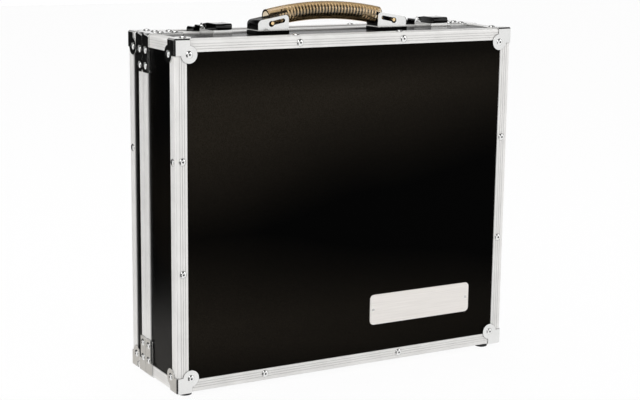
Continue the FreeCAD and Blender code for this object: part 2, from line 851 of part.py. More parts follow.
def grip_tube():
    """The clear tube with nearly square ends, cut away under its left end where it passes the pin."""
    start_x = -tube_shift - tube_top_reach - overrun
    end_x = -tube_shift + tube_top_reach + overrun
    bore = bow_bar(tube_radius - tube_wall, start_x, end_x, tube_rings)
    tube = bow_bar(tube_radius, start_x, end_x, tube_rings).cut(bore)
    tip_z = tube_line(-tube_shift + tube_top_reach)
    high = tip_z + tube_radius
    drop = tube_radius * 3
    wide = tube_radius * 2
    lean = math.tan(math.radians(tube_end_angle))
    for sign in (-1, 1):
        tip = -tube_shift + sign * tube_top_reach
        past = tip + sign * drop
        slant = sign * drop * lean
        tube = tube.cut(at_handle([(tip + slant, high + drop), (past, high + drop),
                                   (past, high - drop), (tip - slant, high - drop)], -wide, wide))
    tip = -tube_shift - tube_top_reach
    knee = tip_z + tube_relief_rise
    knee_x = tip + (high - knee) * lean
    run = drop * math.tan(math.radians(tube_relief_angle))
    return tube.cut(at_handle([(knee_x, knee), (knee_x + run, knee - drop), (tip - drop, knee - drop),
                               (tip - drop, knee)], -wide, wide))


def grip_spring():
    """The coil spring in the tube: one wire of real turns along the bow, with flat sides."""
    centre = V(-tube_shift, 0, top + tube_apex - tube_bow)
    turn_angle = spring_pitch / tube_bow
    middle = (spring_centre + tube_shift) / tube_bow
    first = middle - turn_angle * spring_turns / 2

    def spot(turns):
        """A point on the wire's own line after a number of turns, and its direction there."""
        along = first + turn_angle * turns
        round_angle = 2 * math.pi * turns
        radial = V(math.sin(along), 0, math.cos(along))
        tangent = V(math.cos(along), 0, -math.sin(along))
        point = centre + radial * (tube_bow + spring_radius * math.cos(round_angle))
        point = point + V(0, handle_row + spring_radius * math.sin(round_angle), 0)
        rate = tangent * (turn_angle * (tube_bow + spring_radius * math.cos(round_angle)))
        rate = rate - radial * (spring_radius * 2 * math.pi * math.sin(round_angle))
        rate = rate + V(0, spring_radius * 2 * math.pi * math.cos(round_angle), 0)
        return point, rate.normalize()

    steps = spring_turns * 2
    spots = [spot(i / 2) for i in range(steps + 1)]
    edges = []
    for (p0, d0), (p1, d1) in zip(spots, spots[1:]):
        edges += biarc(p0, d0, p1, d1)
    path = Part.Wire(edges)
    start, heading = spots[0]
    side = heading.cross(V(1, 0, 0)).normalize()
    other = heading.cross(side)
    angles = [2 * math.pi * (i + 1 / 2) / wire_sides for i in range(wire_sides)]
    corners = [start + side * (spring_wire * math.cos(a)) + other * (spring_wire * math.sin(a))
               for a in angles]
    profile = Part.makePolygon(corners + [corners[0]])
    report_spring_gap([spot(i / turn_samples)[0] for i in range(spring_turns * turn_samples)])
    return path.makePipeShell([profile], True, False)


def biarc(p0, d0, p1, d1):
    """Two tangent arcs between two points with given directions."""
    chord = p1 - p0
    both = d0 + d1
    square = chord.dot(chord)
    lean = chord.dot(both)
    turn = 2 * (1 - d0.dot(d1))
    reach = (math.sqrt(lean ** 2 + turn * square) - lean) / turn if turn > 0 else square / (2 * lean)
    joint = (p0 + d0 * reach + p1 - d1 * reach) * (1 / 2)
    return [Part.Arc(p0, arc_middle(p0, d0, joint), joint).toShape(),
            Part.Arc(joint, arc_middle(p1, d1 * -1, joint), p1).toShape()]


def arc_middle(p, d, q):
    """The middle of the arc that leaves p along d and ends at q."""
    chord = q - p
    half = chord.Length / 2
    along = chord.normalize()
    cosine = d.dot(along)
    off = d - along * cosine
    sine = off.Length
    bulge = half * (1 - cosine) / sine
    return (p + q) * (1 / 2) + off.normalize() * bulge


def report_spring_gap(line):
    """Print the least gap between neighbouring turns of the wire, measured on points of its line."""
    near = turn_samples * 3 // 4
    far = turn_samples * 5 // 4
    least = min((a - b).Length for i, a in enumerate(line[:-far]) for b in line[i + near:i + far])
    print("least gap of the spring to itself, mm:", round(least - spring_wire * 2, 3))


def grip_core():
    """The woven strap's rolled middle in the spring."""
    return bow_bar(core_radius, -core_half, core_half, core_rings)


def strap_end(sign):
    """The flat strap's end: an eye round the pin and a tongue up into the tube, for one side."""
    eye = V(slot_pin_x, handle_row - eye_width / 2, top + slot_pin_z)
    parts = [rod(eye_radius, eye, V(0, eye_width, 0))]
    half = strap_sheet / 2
    inner_z = tube_line(sign * strap_inner) + strap_lift
    outer_z = tube_line(sign * strap_outer) + strap_lift
    tongue = [(strap_inner, inner_z - half), (strap_outer, outer_z - half), (strap_outer, outer_z + half),
              (strap_inner, inner_z + half)]
    drop = [(strap_outer, outer_z - half), (slot_pin_x - half, slot_pin_z),
            (slot_pin_x + half, slot_pin_z + half * 2), (strap_outer, outer_z + half)]
    wide = strap_width / 2
    parts.append(at_handle(tongue, -wide, wide))
    parts.append(at_handle(drop, -wide, wide))
    whole = fused(parts)
    return whole.cut(rod(handle_pin_radius, eye - V(0, overrun, 0), V(0, eye_width + overrun * 2, 0)))


def handle_pin():
    """A brass pin through both cheeks with a low head at each end."""
    reach = cheek + seat_gap
    start = V(slot_pin_x, handle_row - reach, top + slot_pin_z)
    pin = rod(handle_pin_radius, start, V(0, reach * 2, 0))
    near_head = many_sided(start, V(0, -1, 0), pin_head_height, pin_head_radius, pin_head_radius, pin_sides)
    far_head = many_sided(start + V(0, reach * 2, 0), V(0, 1, 0), pin_head_height, pin_head_radius,
                          pin_head_radius, pin_sides)
    return fused([pin, near_head, far_head])


# Front half
front_board_y = front + metal
front_walls = wall_boards(front_board_y + board, seam - bed_front)
save("front_panel", [box(left + metal, front_board_y, bottom + metal, right - metal, front_board_y + board,
                         top - metal)])
for side, wall in front_walls.items():
    save("front_wall_" + side, [wall])
for side in SIDES:
    save("front_edge_profile_" + side, [face_frame(side, front, 1)])
save("front_depth_profiles", depth_profiles(front + profile_leg, seam - closure_band))
save("front_closure_profiles", closure_profiles(seam, -1, False))
save("front_corner_caps", corner_caps(-1, 0))
save("front_corner_braces", corner_braces(seam, -1))
save("front_feet", feet(-1, 0))
badge_back = front + metal
badge = box(left + badge_left, badge_back - badge_sheet, bottom + badge_bottom,
            left + badge_left + badge_width, badge_back, bottom + badge_bottom + badge_height)
save("badge_plate", [badge.makeFillet(badge_round, along_y(badge))])
badge_row = bottom + badge_bottom + badge_height / 2
badge_ends = (left + badge_left + badge_rivet_inset, left + badge_left + badge_width - badge_rivet_inset)
badge_rivets = [rivet(V(x, badge_back - badge_sheet, badge_row), V(0, -1, 0), badge_rivet, badge_rivet / 2,
                      badge_rivet_height) for x in badge_ends]
inside = metal + board + lining_gap
foam_front = front + metal + board
save("front_foam", [box(left + inside, foam_front + seat_gap, bottom + inside, right - inside,
                        foam_front + seat_gap + foam_thickness, top - inside)])

# Rear half
rear_walls = wall_boards(rear_seam + bed_rear, back - metal - board)
save("rear_panel", [box(left + metal, back - metal - board, bottom + metal, right - metal, back - metal,
                        top - metal)])
for side, wall in rear_walls.items():
    save("rear_wall_" + side, [wall])
for side in SIDES:
    save("rear_edge_profile_" + side, [face_frame(side, back, -1)])
save("rear_depth_profiles", depth_profiles(rear_seam + closure_band, back - profile_leg))
save("rear_closure_profiles", closure_profiles(rear_seam, 1, True))
save("rear_corner_caps", corner_caps(1, rear_cap_inset))
save("rear_corner_braces", corner_braces(rear_seam, 1))
save("rear_feet", feet(1, rear_cap_inset))
carpet_back = back - metal - board
save("pedal_deck_carpet", [box(left + inside, carpet_back - seat_gap - carpet_thickness, bottom + inside,
                               right - inside, carpet_back - seat_gap, top - inside)])

# Hinges
hinge_places = (-hinge_centre, hinge_centre)
save("hinge_leaf_front", [hinge_leaf_set(x, -1, 0) for x in hinge_places])
save("hinge_leaf_rear", [hinge_leaf_set(x, 1, 1) for x in hinge_places])
save("hinge_pins", [rod(hinge_pin_radius, V(x - hinge_length / 2, seam, hinge_axis_z), V(hinge_length, 0, 0))
                    for x in hinge_places])
front_leaf_rivets = [r for x in hinge_places for r in hinge_rivets(x, -1)]
rear_leaf_rivets = [r for x in hinge_places for r in hinge_rivets(x, 1)]

# Rivets, one group for each half
save("front_rivets", cap_rivets(-1, 0) + brace_rivet_heads(seam, -1) + frame_rivets(front, -1) + badge_rivets
     + front_leaf_rivets)
save("rear_rivets", cap_rivets(1, rear_cap_inset) + brace_rivet_heads(rear_seam, 1) + frame_rivets(back, 1)
     + rear_leaf_rivets)

# Latches
latch_places = {"left": -latch_centre, "right": latch_centre}
for side, x in latch_places.items():
    save("latch_base_" + side, [latch_base(x)])
    save("latch_lever_" + side, [latch_lever(x)])
    save("latch_link_" + side, [latch_link(x)])
    save("link_pin_" + side, [link_pin(x)])
    save("keeper_" + side, [keeper(x)])
save("latch_pivot_rivets", [r for x in latch_places.values() for r in pivot_rivets(x)])

# Handle
save("handle_pads", [handle_pad(), mirrored_x(handle_pad())])
bracket = handle_bracket()
block = handle_block()
save("handle_bracket_right", [bracket])
save("handle_bracket_left", [mirrored_x(bracket)])
save("handle_block_right", [block.cut(saddle_cut(1))])
save("handle_block_left", [mirrored_x(block).cut(saddle_cut(-1))])
save("handle_screws", screws(1) + screws(-1))
save("grip_tube", [grip_tube()])
save("grip_spring", [grip_spring()])
save("grip_core", [grip_core()])
save("handle_strap_right", [strap_end(1)])
save("handle_strap_left", [mirrored_x(strap_end(-1))])
save("handle_pin_right", [handle_pin()])
save("handle_pin_left", [mirrored_x(handle_pin())])
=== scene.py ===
"""Looks of a hard case for guitar pedals: laminate, ribbed aluminium, plated hardware and a clear grip."""
import json
import math

import bmesh
import bpy
from mathutils import Matrix, Vector


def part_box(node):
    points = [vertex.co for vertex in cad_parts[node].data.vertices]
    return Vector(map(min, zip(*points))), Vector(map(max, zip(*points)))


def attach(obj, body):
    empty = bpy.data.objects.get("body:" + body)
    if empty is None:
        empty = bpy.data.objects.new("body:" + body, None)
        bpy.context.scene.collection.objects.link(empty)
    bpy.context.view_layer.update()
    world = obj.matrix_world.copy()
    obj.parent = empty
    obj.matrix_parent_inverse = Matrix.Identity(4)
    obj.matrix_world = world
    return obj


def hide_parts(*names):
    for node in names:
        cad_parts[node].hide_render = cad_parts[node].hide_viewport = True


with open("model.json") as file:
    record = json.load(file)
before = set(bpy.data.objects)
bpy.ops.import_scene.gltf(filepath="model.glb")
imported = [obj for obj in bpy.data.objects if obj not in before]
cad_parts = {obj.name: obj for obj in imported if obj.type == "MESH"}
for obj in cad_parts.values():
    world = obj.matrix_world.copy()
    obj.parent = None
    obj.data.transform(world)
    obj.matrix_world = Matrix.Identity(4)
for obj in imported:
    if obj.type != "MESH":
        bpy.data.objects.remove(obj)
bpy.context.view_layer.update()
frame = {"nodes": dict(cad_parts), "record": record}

NODES = frame["nodes"]
MM = 0.001

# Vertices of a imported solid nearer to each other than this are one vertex, in metres
WELD = 0.000002

# The reflection painted into the front panel's colour, in metres: it leaves a dark wedge round this height,
# which widens to the right, it thickens between two distances from the wedge, and it weakens towards lines
# inset from the rim
WEDGE_HEIGHT = 0.170
WEDGE_WIDENING = 0.2
REFLECTION_RISE = (0.04, 0.16)
REFLECTION_UNEVENNESS = 0.04
REFLECTION_INSET = 0.0116

# How far the shade painted into a groove or a seam reaches over the aluminium, in metres
PAINTED_SHADE_REACH = 0.0012

# How much darker plated metal is where it is cloudy, and how far the gloss of rubber varies
CLOUDY = 0.93
RUBBER_UNEVENNESS = 0.08

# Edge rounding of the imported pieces, in metres, by material slot
EDGE_ROUND = {
    "laminate": 0.00025,
    "aluminium_profile": 0.00012,
    "chrome_hardware": 0.00025,
    "latch_chrome": 0.00035,
    "badge_metal": 0.0002,
    "black_plastic": 0.0005,
    "foot_rubber": 0.0006,
    "brass": 0.00025,
}
ROUNDING_STEPS = 2
SHARP_ANGLE = 28.0

# A packed head's seat: its vertices lie within this share of its height from the lowest or the highest
SEAT_DEPTH = 0.1

# A rivet head: its rim's height and its hole's radius, as shares of the head's height and radius
HEAD_STEPS = 28
RIM_HEIGHT = 0.14
DOME_RINGS = 7
DOME_POWER = 2.4
HOLE_RADIUS = 0.27
# The hole's lip, the foot of its wall and the tip of the stub in it: shares of the hole's radius, and how
# far each lies below the crown, as a share of the head's height
HOLE_SHAPE = [(0.86, 0.12), (0.8, 0.62), (0, 0.496)]

# The grip's tube and spring, in millimetres and degrees, as their construction has them
TUBE_WALL = 2.0
TUBE_BOW = 330.0
TUBE_SHIFT = 7.2
TUBE_REACH = 70.8
TUBE_END_ANGLE = 6.0
TUBE_RELIEF_ANGLE = 58.0
TUBE_RELIEF_RISE = 1.5
TUBE_AROUND = 72
TUBE_ALONG = 48
END_TRIES = 30
SPRING_RADIUS = 6.55
SPRING_TURNS = 30
SPRING_PITCH = 3.9
SPRING_CENTRE = 2.0
# The spring's wire as the photo shows it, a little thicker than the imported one
WIRE_RADIUS = 1.0
WIRE_STEPS = 24
WIRE_SIDES = 8

# A soft sheet or pad: cells each way, the share of its depth that its rim drops by and over how many cells,
# and the waves of its face, in radians across and up it
SLAB_CELLS = 48
RIM_DROP = 0.45
RIM_CELLS = 1.5
SLAB_WAVES = [(37, 11), (-17, 29)]

# The photograph's camera: its place and nearest view in metres, its turns in degrees, its lens and sensor
# in millimetres
CAMERA_PLACE = Vector((-0.79665, -1.39783, 0.50429))
CAMERA_YAW = 29.5492
CAMERA_PITCH = 11.2432
CAMERA_ROLL = 0.678
CAMERA_LENS = 81.96
CAMERA_SENSOR = 36.0
CAMERA_NEAR = 0.05

# The studio: how high reflections see its ceiling start to darken and reach its grey, its fill's strength,
# and how far the floor reaches, in metres, and lets the backdrop through
CEILING_START = 0.04
CEILING_DARK = 0.6
CEILING_GREY = 0.02
FILL = 0.6
FLOOR_REACH = 6.0
FLOOR_CLEARNESS = 0.95
LAMP_AIM = Vector((0, 0, 0.2))


# Node trees

class Tree:
    """A node tree, with short ways to add nodes and link them."""

    def __init__(self, tree):
        self.tree = tree

    def feed(self, target, value):
        """Set an input to a value, or link another node's output to it."""
        if isinstance(value, bpy.types.NodeSocket):
            self.tree.links.new(value, target)
        else:
            target.default_value = value

    def add(self, kind, **settings):
        """A new node; each setting goes to the property or else the input of that name."""
        node = self.tree.nodes.new(kind)
        for key, value in settings.items():
            if hasattr(node, key):
                setattr(node, key, value)
            else:
                self.feed(node.inputs[key], value)
        return node

    def maths(self, operation, *values):
        """The result of a sum over numbers and other nodes' outputs."""
        node = self.add("ShaderNodeMath", operation=operation)
        for target, value in zip(node.inputs, values):
            self.feed(target, value)
        return node.outputs[0]

    def parts(self, vector):
        """The three outputs that a vector comes apart into."""
        return self.add("ShaderNodeSeparateXYZ", Vector=vector).outputs

    def ramp(self, source, stops):
        """A colour ramp; each stop is a place and a grey or a colour."""
        node = self.add("ShaderNodeValToRGB", Fac=source)
        elements = node.color_ramp.elements
        while len(elements) < len(stops):
            elements.new(0.5)
        for element, (place, value) in zip(elements, stops):
            colour = (value, value, value) if isinstance(value, (int, float)) else value
            element.position = place
            element.color = (*colour, 1)
        return node.outputs["Color"]

    def mixed(self, share, first, second):
        """A mix of two shaders."""
        node = self.add("ShaderNodeMixShader", Fac=share)
        self.feed(node.inputs[1], first)
        self.feed(node.inputs[2], second)
        return node.outputs[0]


class Finish(Tree):
    """A material's node tree, with a principled shader ready for its inputs."""

    def __init__(self, name):
        self.material = bpy.data.materials.new(name)
        self.material.use_nodes = True
        super().__init__(self.material.node_tree)
        self.shader = self.tree.nodes["Principled BSDF"]
        self.output = self.tree.nodes["Material Output"]

    def set(self, **inputs):
        """Feed inputs of the shader; an underscore stands for a space in the input's name."""
        for key, value in inputs.items():
            self.feed(self.shader.inputs[key.replace("_", " ")], value)

    def place(self, stretch=(1, 1, 1)):
        """Object coordinates in metres, stretched."""
        where = self.add("ShaderNodeTexCoord")
        return self.add("ShaderNodeMapping", Vector=where.outputs["Object"], Scale=stretch).outputs["Vector"]

    def noise(self, scale, detail=3.0, rough=0.5, stretch=(1, 1, 1)):
        """Noise over object coordinates."""
        settings = {"Scale": scale, "Detail": detail, "Roughness": rough}
        return self.add("ShaderNodeTexNoise", Vector=self.place(stretch), **settings).outputs["Fac"]

    def spread(self, source, low, high, stops):
        """A colour ramp whose ends lie at a low and a high value of the source."""
        limits = {"From Min": low, "From Max": high}
        return self.ramp(self.add("ShaderNodeMapRange", Value=source, **limits).outputs["Result"], stops)

    def times(self, first, second):
        """The product of two colours; a mix node's colours are its inputs 6 and 7 and its output 2."""
        node = self.add("ShaderNodeMix", data_type="RGBA", blend_type="MULTIPLY", Factor=1.0)
        self.feed(node.inputs[6], first)
        self.feed(node.inputs[7], second)
        return node.outputs[2]

    def rough(self, source, low, high):
        """Roughness that follows a source between two values."""
        limits = {"To Min": low, "To Max": high}
        self.set(Roughness=self.add("ShaderNodeMapRange", Value=source, **limits).outputs["Result"])

    def bump(self, source, strength, distance):
        """Fine relief that follows a source, its distance in metres."""
        node = self.add("ShaderNodeBump", Height=source, Strength=strength, Distance=distance)
        self.set(Normal=node.outputs["Normal"])


# Finishes

def laminate(name, gloss, with_painted_reflection=False):
    """Black laminate over plywood: a fine grain, a soft gloss, and a brown bloom, or on the front a painted
    reflection.
    """
    m = Finish(name)
    black = (0.0003, 0.0003, 0.0003)
    bloom_and_reflection = m.noise(6, detail=2, rough=0.4)
    stops = [(0.4, black), (0.62, (0.005, 0.0037, 0.0022))]
    if with_painted_reflection:
        # The front's colour carries a painted reflection, a light brown sheen, in place of most of its gloss
        bloom_and_reflection = painted_reflection(m, bloom_and_reflection)
        stops = [(0.0, black), (1.0, (0.022, 0.0182, 0.0132))]
    grain = m.ramp(m.noise(900, detail=4), [(0.35, 0.4), (0.7, 1.0)])
    m.set(Base_Color=m.times(m.ramp(bloom_and_reflection, stops), grain), Specular_IOR_Level=gloss)
    m.rough(m.noise(260), low=0.2, high=0.3)
    m.bump(m.noise(1500, detail=2), strength=0.15, distance=0.0002)
    return m.material


def painted_reflection(m, noise):
    """Where the front panel's painted reflection lies: above and below a dark wedge, and weaker at the
    panel's rims.
    """
    low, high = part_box("front_panel")
    x, _, z = m.parts(m.place())
    from_middle = m.maths("ABSOLUTE", m.maths("SUBTRACT", z, WEDGE_HEIGHT))
    past_wedge = m.maths("MULTIPLY_ADD", x, -WEDGE_WIDENING, from_middle)
    uneven = m.maths("MULTIPLY_ADD", noise, REFLECTION_UNEVENNESS, past_wedge)
    rise = m.spread(uneven, *REFLECTION_RISE, [(0.0, 0.0), (0.28, 0.2), (0.66, 0.6), (1.0, 1.0)])
    fade = [(0.0, 0.35), (0.16, 0.9), (0.86, 1.0), (0.97, 0.3)]
    rim = m.spread(z, low[2] + REFLECTION_INSET, high[2] - REFLECTION_INSET, fade)
    return m.maths("MULTIPLY", rise, rim)


def aluminium():
    """Satin anodised aluminium, a little uneven in tone, with shade painted into its grooves and seams."""
    m = Finish("aluminium_satin")
    tone = m.ramp(m.noise(45, detail=4), [(0.3, (0.76, 0.75, 0.732)), (0.75, (0.85, 0.84, 0.823))])
    # Ambient occlusion darkens the colour where grooves, seams and the parts on it close in: painted shade
    painted_shade = m.add("ShaderNodeAmbientOcclusion", samples=8, Distance=PAINTED_SHADE_REACH, Color=tone)
    m.rough(m.noise(320, rough=0.6), low=0.26, high=0.4)
    m.bump(m.noise(1400, detail=2), strength=0.08, distance=0.0001)
    m.set(Base_Color=painted_shade.outputs["Color"], Metallic=0.3)
    return m.material


def plated(name, tone, low, high):
    """Plated or polished metal of one tone, a little cloudy, its roughness between low and high."""
    m = Finish(name)
    cloudy = [c * CLOUDY for c in tone]
    m.rough(m.noise(140), low=low, high=high)
    m.bump(m.noise(700, detail=2), strength=0.05, distance=0.0001)
    m.set(Base_Color=m.ramp(m.noise(60, detail=4), [(0.3, cloudy), (0.7, tone)]), Metallic=1.0)
    return m.material


def brushed_plate():
    """The bare badge plate: pale metal, brushed along its length."""
    m = Finish("badge_brushed")
    tone = m.noise(900, rough=0.6, stretch=(0.02, 1, 1))
    m.rough(m.noise(1300, rough=0.6, stretch=(0.02, 1, 1)), low=0.3, high=0.42)
    m.bump(m.noise(1500, detail=2, stretch=(0.015, 1, 1)), strength=0.08, distance=0.0001)
    m.set(Base_Color=m.ramp(tone, [(0.3, (0.78, 0.745, 0.71)), (0.75, (0.88, 0.845, 0.81))]), Metallic=0.4)
    return m.material


def rubber(name, darkest, palest, roughness, grain=0.25, gloss=0.4):
    """Black rubber or moulded plastic with a fine texture."""
    m = Finish(name)
    tone = m.ramp(m.noise(350, detail=4), [(0.3, darkest), (0.7, palest)])
    m.rough(m.noise(500), roughness - RUBBER_UNEVENNESS, roughness + RUBBER_UNEVENNESS)
    m.bump(m.noise(1800, detail=2), strength=grain, distance=0.0002)
    m.set(Base_Color=tone, Specular_IOR_Level=gloss)
    return m.material


def foam():
    """Open-cell foam: fine pores in dark grey."""
    m = Finish("foam_open_cell")
    tone = m.ramp(m.noise(1100, detail=4, rough=0.7), [(0.35, 0.01), (0.65, 0.05)])
    m.bump(m.noise(1400, detail=4, rough=0.7), strength=0.9, distance=0.0008)
    m.set(Base_Color=tone, Roughness=0.95, Specular_IOR_Level=0.1)
    return m.material


def carpet():
    """Loop pile carpet: short fibres in two greys."""
    m = Finish("carpet_loop")
    tone = m.ramp(m.noise(1600, detail=5, rough=0.8), [(0.38, 0.008), (0.62, 0.055)])
    m.bump(m.noise(1300, detail=5, rough=0.8), strength=1.0, distance=0.001)
    m.set(Base_Color=tone, Roughness=1.0, Specular_IOR_Level=0.05, Sheen_Weight=0.3)
    return m.material


def amber_tube():
    """Clear smoky amber vinyl, a little cloudy; its colour comes from its depth."""
    m = Finish("tube_amber")
    tone = m.ramp(m.noise(30), [(0.3, (0.93, 0.91, 0.88)), (0.7, (0.99, 0.98, 0.96))])
    m.rough(m.noise(80, detail=2), low=0.03, high=0.08)
    m.set(Base_Color=tone, Transmission_Weight=1.0, IOR=1.45)
    tint = m.add("ShaderNodeVolumeAbsorption", Color=(0.6, 0.42, 0.1, 1), Density=370)
    m.feed(m.output.inputs["Volume"], tint.outputs[0])
    return m.material


MATERIALS = {
    "laminate": laminate("laminate_black", gloss=0.085),
    "aluminium_profile": aluminium(),
    "chrome_hardware": plated("plated_bright", (0.82, 0.82, 0.81), low=0.08, high=0.16),
    # The latch levers are plated metal; their near-black colour is a painted reflection of dark surroundings
    "latch_chrome": plated("plated_latch_painted_dark", (0.035, 0.035, 0.035), low=0.05, high=0.12),
    "rivet_steel": plated("plated_rivet", (0.84, 0.84, 0.83), low=0.08, high=0.14),
    "foot_rubber": rubber("rubber_feet", darkest=0.008, palest=0.02, roughness=0.6),
    "badge_metal": brushed_plate(),
    "foam": foam(),
    "carpet": carpet(),
    "black_plastic": rubber("plastic_black", darkest=0.0008, palest=0.002, roughness=0.2,
                            grain=0.06, gloss=0.05),
    "amber_tube": amber_tube(),
    "spring_steel": plated("spring_wire", (0.95, 0.93, 0.89), low=0.3, high=0.4),
    "core_rubber": rubber("core_black", darkest=0.008, palest=0.02, roughness=0.5),
    "brass": plated("brass_polished", (0.9, 0.66, 0.36), low=0.15, high=0.25),
}
TOP_LAMINATE = laminate("laminate_top", gloss=0.25)

# Nodes whose finish isn't their slot's own
OWN_FINISH = {
    # The front keeps little gloss; a reflection is painted into its colour instead
    "front_panel": laminate("laminate_front", gloss=0.015, with_painted_reflection=True),
    "front_wall_top": TOP_LAMINATE,
    "rear_wall_top": TOP_LAMINATE,
    "latch_base_left": MATERIALS["chrome_hardware"],
    "latch_base_right": MATERIALS["chrome_hardware"],
}
# Near-black metal inside the rivets' holes: painted shade
RIVET_HOLE_SHADE = plated("rivet_hole_painted_shade", (0.03, 0.03, 0.03), low=0.4, high=0.5)


def dress_nodes():
    """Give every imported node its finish, and round the sharp edges of the rigid ones."""
    slots = {part["node"]: part["material_slot"] for part in frame["record"]["subparts"]}
    for name, node in NODES.items():
        slot = slots[name]
        node.data.materials.clear()
        node.data.materials.append(OWN_FINISH.get(name, MATERIALS[slot]))
        if slot not in EDGE_ROUND:
            continue
        weld = node.modifiers.new("weld", "WELD")
        weld.merge_threshold = WELD
        bevel = node.modifiers.new("rounding", "BEVEL")
        bevel.width = EDGE_ROUND[slot]
        bevel.segments = ROUNDING_STEPS
        bevel.limit_method = "ANGLE"
        bevel.angle_limit = math.radians(SHARP_ANGLE)
        bevel.harden_normals = True


# New pieces

def add_object(name, data):
    """A new object of some data, in the scene."""
    made = bpy.data.objects.new(name, data)
    bpy.context.scene.collection.objects.link(made)
    return made


def mesh_of(name, work):
    """A mesh of the finished work, shaded smooth."""
    mesh = bpy.data.meshes.new(name)
    work.to_mesh(mesh)
    work.free()
    for polygon in mesh.polygons:
        polygon.use_smooth = True
    return mesh


def finished(mesh, slot, body, node_name):
    """A new piece with its finish, riding on its body and standing for its node."""
    piece = add_object(mesh.name, mesh)
    mesh.materials.append(MATERIALS[slot])
    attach(piece, body)
    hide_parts(node_name)
    return piece


def angles(count):
    """Equal steps of one turn, in radians."""
    return [2 * math.pi * k / count for k in range(count)]


def bridge(work, lower, upper):
    """The faces between two rings of vertices; the upper ring may be a single point."""
    faces = []
    for k, corner in enumerate(lower):
        after = (k + 1) % len(lower)
        top = upper if len(upper) == 1 else (upper[after], upper[k])
        faces.append(work.faces.new((corner, lower[after], *top)))
    return faces


def islands(node):
    """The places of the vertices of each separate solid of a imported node."""
    work = bmesh.new()
    work.from_mesh(node.data)
    bmesh.ops.remove_doubles(work, verts=work.verts, dist=WELD)
    seen = set()
    found = []
    for start in work.verts:
        if start in seen:
            continue
        stack = [start]
        seen.add(start)
        group = []
        while stack:
            vert = stack.pop()
            group.append(vert.co.copy())
            for edge in vert.link_edges:
                other = edge.other_vert(vert)
                if other not in seen:
                    seen.add(other)
                    stack.append(other)
        found.append(group)
    work.free()
    return found


def rivet_seats(node):
    """Where each rivet head sits: the middle of its seat, its outward direction, radius and height."""
    seats = []
    for group in islands(node):
        low = Vector([min(p[i] for p in group) for i in range(3)])
        high = Vector([max(p[i] for p in group) for i in range(3)])
        size = high - low
        axis = min(range(3), key=lambda i: size[i])
        middle = (low + high) / 2

        def reach(level):
            """How far the vertices near a level of the short axis lie from the middle."""
            near = [p for p in group if abs(p[axis] - level) < size[axis] * SEAT_DEPTH]
            return max((p - middle).length for p in near)

        points_high = reach(low[axis]) > reach(high[axis])
        outward = Vector((0, 0, 0))
        outward[axis] = 1 if points_high else -1
        middle[axis] = low[axis] if points_high else high[axis]
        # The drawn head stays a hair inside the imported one
        radius = math.sqrt(reach(middle[axis]) ** 2 - (size[axis] / 2) ** 2)
        seats.append((middle, outward, radius, size[axis]))
    return seats


def rivet_head(work, seat, outward, radius, height):
    """Add one smooth domed head, with the blind hole that the drawn-out mandrel leaves in its crown."""
    rim = height * RIM_HEIGHT
    hole = radius * HOLE_RADIUS
    profile = [(radius, 0), (radius, rim)]
    for i in range(1, DOME_RINGS + 1):
        share = 1 - i / DOME_RINGS
        lift = rim + height * (1 - RIM_HEIGHT) * (1 - share ** DOME_POWER)
        profile.append((hole + (radius - hole) * share, lift))
    hole_start = len(profile) - 1
    profile += [(hole * share, height * (1 - drop)) for share, drop in HOLE_SHAPE]
    turn = outward.to_track_quat("Z", "Y").to_matrix()
    rings = []
    for across, lift in profile:
        ring = []
        for angle in angles(HEAD_STEPS if across > 0 else 1):
            spot = Vector((across * math.cos(angle), across * math.sin(angle), lift))
            ring.append(work.verts.new(seat + turn @ spot))
        rings.append(ring)
    # The hole's faces take the second material, painted shade
    for level, (lower, upper) in enumerate(zip(rings, rings[1:])):
        for face in bridge(work, lower, upper):
            face.material_index = 1 if level >= hole_start else 0
    work.faces.new(rings[0][::-1])


def rivet_heads(name, node_name, body):
    """The drawn heads of a node's rivets, with flat backs and shade painted into their holes."""
    work = bmesh.new()
    for seat, outward, radius, height in rivet_seats(NODES[node_name]):
        rivet_head(work, seat, outward, radius, height)
    mesh = mesh_of(name, work)
    for polygon in mesh.polygons:
        polygon.use_smooth = len(polygon.vertices) <= 4
    finished(mesh, "rivet_steel", body, node_name)
    mesh.materials.append(RIVET_HOLE_SHADE)


def grip_bow():
    """The middle of the grip's bow and its tube's radius, in metres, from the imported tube's box."""
    low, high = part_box("grip_tube")
    radius = (high[1] - low[1]) / 2
    return Vector((-TUBE_SHIFT * MM, (low[1] + high[1]) / 2, high[2] - radius - TUBE_BOW * MM)), radius


def tube_ends(centre, radius):
    """A function that says how far along the grip an end's cut stands at a height."""
    tip = TUBE_REACH * MM
    tip_z = centre.z + math.sqrt((TUBE_BOW * MM) ** 2 - tip ** 2)
    high = tip_z + radius
    lean = math.tan(math.radians(TUBE_END_ANGLE))
    relief = math.tan(math.radians(TUBE_RELIEF_ANGLE))
    knee = tip_z + TUBE_RELIEF_RISE * MM

    def end(side, z):
        inward = (high - z) * lean
        if side < 0 and z < knee:
            inward = (high - knee) * lean + (knee - z) * relief
        return centre.x + side * (tip - inward)

    return end


